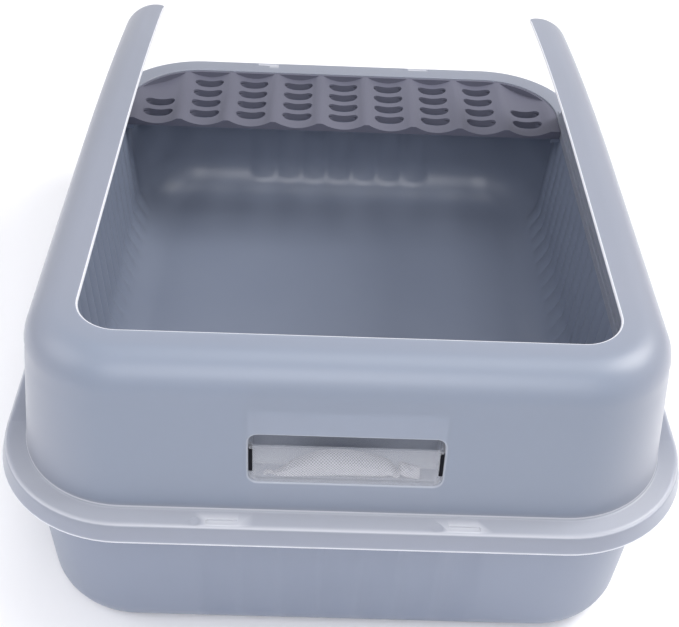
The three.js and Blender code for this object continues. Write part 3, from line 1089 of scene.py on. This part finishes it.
        # Painted highlight along the rail's inner edge.
        rail = (inset > self.opening_inset - self.edge * 0.6) & (z > ring + 40 * MM)
        amount = np.maximum(amount, rail * 0.9)
        # Painted highlight round the window's roll, strongest beside the slits.
        middle = (self.pocket_low + self.pocket_high) / 2
        grown = np.abs(np.stack([points[:, 0], z - middle], axis=1))
        half_height = (self.pocket_high - self.pocket_low) / 2
        grown -= (self.pocket_half - self.pocket_corner, half_height - self.pocket_corner)
        beyond = np.linalg.norm(np.maximum(grown, 0), axis=1) - self.pocket_corner
        near_face = points[:, 1] < self.plan.near(self.wall_inset(middle) + 5 * MM)
        roll = np.exp(-(((beyond - 0.3 * MM) / (0.6 * MM)) ** 2)) * near_face
        beside_slit = (np.abs(points[:, 0]) > self.pocket_half - 0.2 * MM) & (z > 145 * MM) & (z < 162 * MM)
        amount = np.maximum(amount, roll * np.where(beside_slit, 1.0, 0.3))
        # Painted light on the walls of the pocket's room.
        depth = points[:, 1] - self.plan.near(0) - self.wall_inset(z)
        room = (np.abs(points[:, 0]) < self.pocket_half + MM) & (z > 138 * MM) & (z < self.pocket_roof + MM)
        room &= depth > self.plan.sheet - 0.3 * MM
        room &= points[:, 1] < self.plan.near(self.pocket_back - MM)
        amount = np.maximum(amount, room * 0.5)
        # Painted highlight along each clip recess.
        past_end = np.abs(np.abs(points[:, 0]) - self.clip_x) < self.clip_length / 2 + 0.6 * MM
        far_side = np.abs(inset - self.clip_inset - self.clip_width / 2) < self.clip_width / 2 + 0.6 * MM
        return np.maximum(amount, past_end * far_side * (z > ring - 2 * MM) * 0.55)

    def build(self) -> bpy.types.Object:
        """Build the hood as one moulding."""
        hood = sweep("frosted_hood", self.plan, self.section(), Detail(18, 34, 30), closed=True)
        self.dip_rails(hood)
        combine(hood, self.entrance_cutter(), "DIFFERENCE")
        combine(hood, self.pocket_solid("housing", self.pocket_wall), "UNION")
        combine(hood, self.pocket_solid("room", 0), "DIFFERENCE")
        combine(hood, self.window_cutter(), "DIFFERENCE")
        for side in (-1, 1):
            for x in (-self.clip_x, self.clip_x):
                combine(hood, self.clip_recess(x, side), "DIFFERENCE")
                combine(hood, self.ejector_mark(x - 15 * MM, side), "DIFFERENCE")
        clean(hood)
        round_edges(hood, 0.45 * MM)
        add_painted_edge_highlight(hood, self.painted_edge_highlight)
        self.tint(hood)
        return hood


# ---------------------------------------------------------------------------
# Entry step
# ---------------------------------------------------------------------------
@dataclass
class EntryStep:
    """The slotted plate across the low end: shallow troughs between flat ridges, closed by a rim."""

    plan: Plan
    front: float = 162.5 * MM
    ridge_top: float = 117 * MM
    trough: float = 5 * MM
    plate: float = 2 * MM
    drop: float = 7 * MM
    bay: float = 38.6 * MM
    full_bays: int = 7
    ridge: float = 4 * MM
    rim: float = 1.8 * MM
    slot_length: float = 24.5 * MM
    slot_width: float = 10.5 * MM
    collar: float = 1.3 * MM
    collar_drop: float = 10.5 * MM
    first_row: float = 17 * MM
    row_pitch: float = 17 * MM
    rows: int = 4
    end_rows: int = 2
    clearance: float = 20.4 * MM

    def profile(self) -> list[Point]:
        """(x, z) points of the upper surface from left to right."""
        edge = self.plan.half_width - 20 * MM
        half = (self.bay - self.ridge) / 2
        points = [(-edge, self.ridge_top)]
        for bay in range(self.full_bays + 2):
            middle = (bay - (self.full_bays + 1) / 2) * self.bay
            for across in np.linspace(-1, 1, 15):
                points.append((middle + across * half, self.ridge_top - self.trough * (1 - across**2)))
        points.append((edge, self.ridge_top))
        return points

    def grid_tree(self, material: bpy.types.Material) -> bpy.types.NodeTree:
        """Tree that repeats the incoming solid over a grid of columns and rows."""
        sizes = {"Columns": 1.0, "Rows": 1.0, "Column Pitch": 1.0, "Row Pitch": 1.0, "First Row": 0.0}
        tree, given, out = new_geometry_tree("slot_grid", sizes)
        value = given.outputs
        gaps_x = add_node(tree, MATH, SUBTRACT, {0: value["Columns"], 1: 1.0}).outputs[0]
        gaps_y = add_node(tree, MATH, SUBTRACT, {0: value["Rows"], 1: 1.0}).outputs[0]
        size_x = add_node(tree, MATH, MULTIPLY, {0: gaps_x, 1: value["Column Pitch"]}).outputs[0]
        size_y = add_node(tree, MATH, MULTIPLY, {0: gaps_y, 1: value["Row Pitch"]}).outputs[0]
        grid = add_node(
            tree,
            "GeometryNodeMeshGrid",
            None,
            {"Size X": size_x, "Size Y": size_y, "Vertices X": value["Columns"], "Vertices Y": value["Rows"]},
        )
        half = add_node(tree, MATH, MULTIPLY, {0: size_y, 1: 0.5}).outputs[0]
        shift = add_node(tree, MATH, ADD, {0: half, 1: value["First Row"]}).outputs[0]
        place = add_node(tree, "ShaderNodeCombineXYZ", None, {"Y": shift}).outputs[0]
        put = {"Geometry": grid.outputs["Mesh"], "Translation": place}
        moved = add_node(tree, "GeometryNodeTransform", None, put)
        copies = add_node(
            tree,
            "GeometryNodeInstanceOnPoints",
            None,
            {"Points": moved.outputs[0], "Instance": value["Geometry"]},
        )
        real = add_node(tree, "GeometryNodeRealizeInstances", None, {0: copies.outputs[0]}).outputs[0]
        faced = add_node(tree, "GeometryNodeSetMaterial", None, {"Geometry": real, "Material": material})
        tree.links.new(faced.outputs[0], out.inputs[0])
        return tree

    def slot_solids(self, name: str, tree: bpy.types.NodeTree, grow: float, low: float, high: float) -> list:
        """Solids at every slot, one object for the full bays and one for the two end bays.

        Args:
            name: Object name.
            tree: The tree that repeats one slot.
            grow: How much wider than the slot all round.
            low: Lower end.
            high: Upper end.

        Returns:
            The two objects.
        """
        made = []
        first = self.front + self.first_row
        layouts = [(self.full_bays, self.rows, self.bay), (2, self.end_rows, self.bay * (self.full_bays + 1))]
        for columns, rows, pitch in layouts:
            corner = (self.slot_length / 2 + grow, self.slot_width / 2 + grow)
            outline = rounded_rectangle((-corner[0], -corner[1]), corner, corner[1] - 0.01 * MM, 8)
            solid = prism(name, outline, 2, low, high)
            sizes = {"Columns": columns, "Rows": rows, "Column Pitch": pitch}
            run_geometry_tree(solid, tree, {**sizes, "Row Pitch": self.row_pitch, "First Row": first})
            made.append(solid)
        return made

    def build(self, material: bpy.types.Material) -> bpy.types.Object:
        """Build the plate.

        Args:
            material: The plastic that it is moulded in.

        Returns:
            The plate.
        """
        top = self.profile()
        under = [(x, z - self.plate) for x, z in reversed(top)]
        far = self.plan.half_length
        step = prism("entry_step_plate", top + under, 1, self.front, far)
        bottom = self.ridge_top - self.drop
        filled = [(top[-1][0], bottom), (top[0][0], bottom)]
        combine(step, prism("front_bar", top + filled, 1, self.front, self.front + 2 * MM), "UNION")
        outline = self.plan.loop(self.clearance, 20, 2, 2)
        combine(step, prism("outline", [tuple(p) for p in outline], 2, bottom, self.ridge_top), "INTERSECT")
        section = [(self.clearance, bottom), (self.clearance, self.ridge_top)]
        section += [(self.clearance + self.rim, self.ridge_top), (self.clearance + self.rim, bottom)]
        rim = sweep("rim", self.plan, section, Detail(20, 2, 2), closed=True)
        kept = rounded_rectangle((-1, self.front), (1, 1), MM, 1)
        combine(rim, prism("low_end", kept, 2, 0, 0.2), "INTERSECT")
        combine(step, rim, "UNION")
        tree = self.grid_tree(material)
        collar_low = self.ridge_top - self.collar_drop
        middle = self.ridge_top - self.trough - self.plate / 2
        for collars in self.slot_solids("collar", tree, self.collar, collar_low, middle):
            combine(step, collars, "UNION")
        for cutters in self.slot_solids("slot", tree, 0, collar_low - MM, self.ridge_top + MM):
            combine(step, cutters, "DIFFERENCE")
        clean(step)
        round_edges(step, 0.6 * MM)
        return step


# ---------------------------------------------------------------------------
# Odour drawer
# ---------------------------------------------------------------------------
@dataclass
class OdourDrawer:
    """The clear open-topped drawer, with a slit beside each end that frees its latch."""

    plan: Plan
    hood: Hood
    top: float = 162.8 * MM
    wall: float = 1.6 * MM
    back: float = 41.6 * MM
    slit_width: float = 1.8 * MM
    slit_low: float = 145.4 * MM
    slit_high: float = 161.4 * MM
    gap: float = 0.5 * MM
    lift: float = 0.4 * MM

    def block(
        self, name: str, half: float, low: float, high: float, front: float, back: float
    ) -> bpy.types.Object:
        """Block across the pocket whose near face leans with the hood's wall.

        Args:
            name: Object name.
            half: Half its width.
            low: Lower end.
            high: Upper end.
            front: Distance of its near face behind the hood's outer face.
            back: Distance of its far face inside the skirt's outline.

        Returns:
            The block.
        """
        near = self.plan.near
        lean = self.hood.wall_inset
        face_low, face_high = near(lean(low) + front), near(lean(high) + front)
        outline = [(face_low, low), (near(back), low), (near(back), high), (face_high, high)]
        return prism(name, outline, 0, -half, half)

    def build(self) -> bpy.types.Object:
        """Build the drawer."""
        half = self.hood.pocket_half - self.gap
        low = self.hood.pocket_low + self.lift
        corner = self.hood.pocket_corner
        drawer = self.block("clear_drawer", half, low, self.top, self.gap, self.back)
        face = rounded_rectangle((-half, low), (half, self.top + 20 * MM), corner)
        combine(drawer, prism("face", face, 1, self.plan.near(0), self.plan.near(60 * MM)), "INTERSECT")
        inside = half - self.wall
        wall = self.wall
        room = self.block("room", inside, low + wall, self.top + MM, self.gap + wall, self.back - wall)
        core = rounded_rectangle((-inside, low + self.wall), (inside, self.top + 20 * MM), corner - self.wall)
        combine(room, prism("core", core, 1, self.plan.near(0), self.plan.near(60 * MM)), "INTERSECT")
        combine(drawer, room, "DIFFERENCE")
        for side in (-1, 1):
            slit = self.slit(side, 0)
            through = prism("slit", slit, 1, self.plan.near(10 * MM), self.plan.near(26 * MM))
            combine(drawer, through, "DIFFERENCE")
        clean(drawer)
        round_edges(drawer, 0.16 * MM)
        add_painted_edge_highlight(drawer, self.painted_edge_highlight)
        return drawer

    def painted_edge_highlight(self, points: np.ndarray) -> np.ndarray:
        """Painted pale highlight along the top edge of the drawer's front."""
        front = self.plan.near(self.hood.wall_inset(self.top) + self.gap + self.wall + 0.1 * MM)
        return ((points[:, 2] > self.top - 0.3 * MM) & (points[:, 1] < front)) * 0.55

    def slit(self, side: int, shrink: float) -> list[Point]:
        """Outline of the slit beside one end, as (x, z) points, drawn in by an amount."""
        outer = side * (self.hood.pocket_half + 0.1 * MM - shrink)
        inner = side * (self.hood.pocket_half - self.gap - self.slit_width + shrink)
        low = (min(outer, inner), self.slit_low + shrink)
        high = (max(outer, inner), self.slit_high - shrink)
        return rounded_rectangle(low, high, 0.45 * MM, 3)

    def dark_slit_blocks(self) -> bpy.types.Object:
        """Two black blocks just behind the slits, put there as painted shade so that the slits look dark."""
        lean = self.hood.wall_inset
        shallow = self.gap + 0.5 * MM
        outline = [(self.plan.near(lean(z) + d), z) for z, d in self.shade_block_corners(shallow)]
        made = None
        for side in (-1, 1):
            slit = self.slit(side, 0.12 * MM)
            xs = [x for x, _ in slit]
            latch = prism("drawer_slit_shade", outline, 0, min(xs), max(xs))
            if made is None:
                made = latch
            else:
                combine(made, latch, "UNION")
        round_edges(made, 0.2 * MM)
        return made

    def shade_block_corners(self, shallow: float) -> list[Point]:
        """(z, depth) corners of a painted-shade block seen from its end."""
        low, high = self.slit_low + 0.12 * MM, self.slit_high - 0.12 * MM
        deep = shallow + 3 * MM
        return [(low, shallow), (low, deep), (high, deep), (high, shallow)]


# ---------------------------------------------------------------------------
# Odour pouch
# ---------------------------------------------------------------------------
@dataclass
class OdourPouch:
    """A small mesh sachet of granules, crimped at both ends, arched, and leaning on the drawer's front."""

    plan: Plan
    hood: Hood
    left: float = -44 * MM
    right: float = 40 * MM
    height: float = 12 * MM
    depth: float = 10.5 * MM
    floor_z: float = 141 * MM
    front: float = 20.6 * MM
    scale: float = 10.0
    around: int = 44
    along: int = 84
    cap: float = 3.5 * MM
    room_left: float = -47 * MM
    room_right: float = 43 * MM
    room_height: float = 19.5 * MM
    room_back: float = 39.6 * MM
    front_gap: float = 2.4 * MM
    peak: float = 0.42  # share of the length where the sachet stands highest
    pinch: float = 0.82  # share of the length where it is drawn in

    def stations(self) -> list[np.ndarray]:
        """Cross-sections from the left end to the right, as rows of points."""
        loops = []
        for step in range(self.along + 1):
            u = step / self.along
            swell = max(math.sin(math.pi * u), 0.0)
            if u < self.peak:
                arch = 0.2 + 0.8 * math.sin(math.pi / 2 * u / self.peak)
            else:
                fall = min((u - self.peak) / 0.4, 1) ** 1.5
                arch = 1 - 0.42 * fall + 0.12 * max((u - self.pinch) / 0.18, 0)
            thick = 0.06 + 0.94 * swell**0.55
            drawn = 1 - 0.38 * math.exp(-(((u - self.pinch) / 0.035) ** 2))
            high, deep = self.height * arch * drawn, self.depth * thick * drawn
            x = self.left + (self.right - self.left) * u
            lean = 1.2 * MM * math.sin(5.0 * u + 0.6)
            loop = []
            for turn in range(self.around):
                angle = 2 * math.pi * turn / self.around
                c, n = math.cos(angle), math.sin(angle)
                y = self.plan.near(self.front) + deep / 2 + lean * thick
                y += math.copysign(abs(c) ** 0.85, c) * deep / 2
                rise = abs(n) ** (0.85 if n > 0 else 0.5)
                z = self.floor_z + high / 2 + math.copysign(rise, n) * high / 2
                loop.append((x, y + (z - self.floor_z) * self.hood.lean, z))
            loops.append(np.array(loop))
        return loops

    def shell(self) -> bpy.types.Object:
        """The sachet before it settles, closed at both ends."""
        loops = self.stations()
        vertices = np.concatenate(loops)
        count = self.around
        faces = bridge(len(loops), count)
        faces.append(tuple(reversed(range(count))))
        last = (len(loops) - 1) * count
        faces.append(tuple(range(last, last + count)))
        pouch = new_object("odour_sachet", vertices, faces)
        chords = np.linalg.norm(np.diff(np.array(loops), axis=1), axis=2)
        around = np.pad(np.cumsum(chords, axis=1), ((0, 0), (1, 0)))
        around -= around[:, [count // 2]]
        for name, values in ((LENGTHWISE, vertices[:, 0]), (ROUND, around.ravel())):
            attribute = pouch.data.attributes.new(name, "FLOAT", "POINT")
            attribute.data.foreach_set("value", values.astype(np.float32))
        face_outwards(pouch)
        return pouch

    def settle(self, pouch: bpy.types.Object) -> None:
        """Let the cloth fill and wrinkle, held at its crimped ends and inside the drawer.

        The cloth is ten times its size while it settles, because the solver's masses suit large cloth.
        """
        mesh = pouch.data
        start = points_of(pouch)
        middle = start.mean(axis=0)
        mesh.vertices.foreach_set("co", ((start - middle) * self.scale).ravel())
        mesh.update()
        group = pouch.vertex_groups.new(name="crimp")
        share = (start[:, 0] - self.left) / (self.right - self.left)
        held = np.nonzero((share < 0.02) | (share > 0.98))[0]
        group.add([int(i) for i in held], 1.0, "REPLACE")
        cloth = pouch.modifiers.new("settle", "CLOTH")
        cloth.settings.use_pressure = True
        cloth.settings.uniform_pressure_force = 4
        cloth.settings.vertex_group_mass = "crimp"
        cloth.settings.shrink_min = -0.12
        cloth.settings.effector_weights.gravity = 0
        cloth.point_cache.frame_start = 1
        cloth.point_cache.frame_end = 20
        scene = bpy.context.scene
        for number in range(1, 21):
            scene.frame_set(number)
        settled = points_of(pouch.evaluated_get(bpy.context.evaluated_depsgraph_get()))
        pouch.modifiers.clear()
        pouch.vertex_groups.clear()
        scene.frame_set(1)
        move = settled / self.scale + middle - start
        length = np.linalg.norm(move, axis=1, keepdims=True)
        LOG.info("sachet cloth moved up to %.1f mm", float(length.max()) / MM)
        share_kept = np.minimum(1, self.cap / np.maximum(length, 1e-9))
        mesh.vertices.foreach_set("co", self.inside(start + move * share_kept).ravel())
        mesh.update()

    def inside(self, points: np.ndarray) -> np.ndarray:
        """Keep points off the drawer's front, floor and back."""
        kept = points.copy()
        level = 150 * MM
        front = self.plan.near(self.hood.wall_inset(level) + self.front_gap)
        front = front + (kept[:, 2] - level) * self.hood.lean
        kept[:, 1] = np.clip(kept[:, 1], front, self.plan.near(self.room_back))
        kept[:, 2] = np.clip(kept[:, 2], self.floor_z, self.floor_z + self.room_height)
        kept[:, 0] = np.clip(kept[:, 0], self.room_left, self.room_right)
        return kept

    def build(self) -> bpy.types.Object:
        """Build the sachet."""
        pouch = self.shell()
        self.settle(pouch)
        smooth = pouch.modifiers.new("smooth", "SUBSURF")
        smooth.levels = 1
        smooth.render_levels = 1
        bake_modifiers(pouch)
        shade(pouch, 180)
        return pouch


# ---------------------------------------------------------------------------
# Studio
# ---------------------------------------------------------------------------
@dataclass(frozen=True)
class Studio:
    """Pale floor, soft light and the camera above the high end."""

    camera_place: tuple[float, float, float] = (-0.0204, -0.6568, 0.6043)
    camera_tilt: float = 49.463
    camera_roll: float = -2.053
    camera_pan: float = 0.407
    lens: float = 60.55
    shift: tuple[float, float] = (0.0101, 0.0107)
    world_strength: float = 0.58

    def camera(self) -> None:
        """Place the camera."""
        data = bpy.data.cameras.new("camera")
        data.lens = self.lens
        data.sensor_width = 36
        data.shift_x, data.shift_y = self.shift
        obj = bpy.data.objects.new("camera", data)
        obj.location = self.camera_place
        angles = [math.radians(a) for a in (self.camera_tilt, self.camera_roll, self.camera_pan)]
        obj.rotation_euler = Euler(angles, "XYZ")
        bpy.context.scene.collection.objects.link(obj)
        bpy.context.scene.camera = obj

    def softbox(self, name: str, place: tuple, target: tuple, size: float, power: float, tint: str) -> None:
        """Hang a square soft light.

        Args:
            name: Light name.
            place: Where it hangs.
            target: What it points at.
            size: Side in metres.
            power: Power in watts.
            tint: sRGB hex colour.
        """
        data = bpy.data.lights.new(name, "AREA")
        data.size = size
        data.energy = power
        data.color = linear(tint)[:3]
        obj = bpy.data.objects.new(name, data)
        obj.location = place
        obj.rotation_euler = (Vector(target) - Vector(place)).to_track_quat("-Z", "Y").to_euler()
        bpy.context.scene.collection.objects.link(obj)

    def floor(self) -> None:
        """Lay the floor."""
        half = 6.0
        corners = [(-half, -half, 0), (half, -half, 0), (half, half, 0), (-half, half, 0)]
        obj = new_object("floor", corners, [(0, 1, 2, 3)])
        made = bpy.data.materials.new("pale_floor")
        made.use_nodes = True
        shader = made.node_tree.nodes["Principled BSDF"]
        shader.inputs["Base Color"].default_value = linear("f6f6f8")
        shader.inputs["Roughness"].default_value = 0.8
        obj.data.materials.append(made)

    def world(self) -> None:
        """Fill the studio with soft white light."""
        world = bpy.data.worlds.new("studio")
        world.use_nodes = True
        background = world.node_tree.nodes["Background"]
        background.inputs["Color"].default_value = linear("fbfbff")
        background.inputs["Strength"].default_value = self.world_strength
        bpy.context.scene.world = world

    def build(self) -> None:
        """Build the studio."""
        self.camera()
        self.floor()
        self.world()
        self.softbox("top", (0.1, 0.0, 1.9), (0, 0, 0.1), 0.9, 7.2, "fffefc")
        self.softbox("key", (1.1, 0.1, 1.3), (0, 0, 0.1), 0.8, 19, "fffdfa")
        self.softbox("front", (0.0, -1.4, 1.5), (0, 0, 0.1), 1.0, 13.5, "fdfdff")
        self.softbox("low", (0.0, -1.9, 0.95), (0, 0, 0.1), 1.3, 3.5, "fdfdff")
        self.softbox("left", (-1.3, -0.4, 1.1), (0, 0, 0.1), 1.0, 7, "fdfdff")
        bpy.context.scene.view_settings.view_transform = "Standard"


def main() -> None:
    """Build every piece in order and report it."""
    logging.basicConfig(level=logging.INFO, format="%(name)s %(message)s")
    Studio().build()
    plan = Plan.from_frame()
    hood = Hood(plan)
    tray_plastic = MouldedPolypropylene("blue_grey_polypropylene", "7b8395", "808899", 0.33).material()
    step_plastic = MouldedPolypropylene("dark_grey_polypropylene", "5e5f6e", "626371", 0.45).material()
    hood_plastic = FrostedPolypropylene("frosted_polypropylene", "a3a9b8", "a8adbb").material()
    clear_plastic = ClearStyrene("clear_styrene").material()
    sachet_mesh = SachetMesh("polyester_sachet_mesh").material()
    # Painted shade: near-black, barely shiny plastic for the blocks behind the slits.
    slit_shade_black = MouldedPolypropylene("painted_shade_black", "0b0c14", "0e0f17", 0.6, shine=0.1).material()
    dress(Tray(plan).build(tray_plastic), tray_plastic, Slot.TRAY, "tray", "tray")
    dress(hood.build(), hood_plastic, Slot.HOOD, "hood", "hood")
    dress(EntryStep(plan).build(step_plastic), step_plastic, Slot.STEP, "entry_step", "entry_step")
    drawer = OdourDrawer(plan, hood)
    dress(drawer.build(), clear_plastic, Slot.DRAWER, "odour_drawer", "odour_drawer")
    dress(drawer.dark_slit_blocks(), slit_shade_black, Slot.DRAWER, "odour_drawer")
    pouch = OdourPouch(plan, hood).build()
    dress(pouch, sachet_mesh, Slot.POUCH, "odour_drawer", "odour_pouch")


if __name__ == "__main__":
    main()
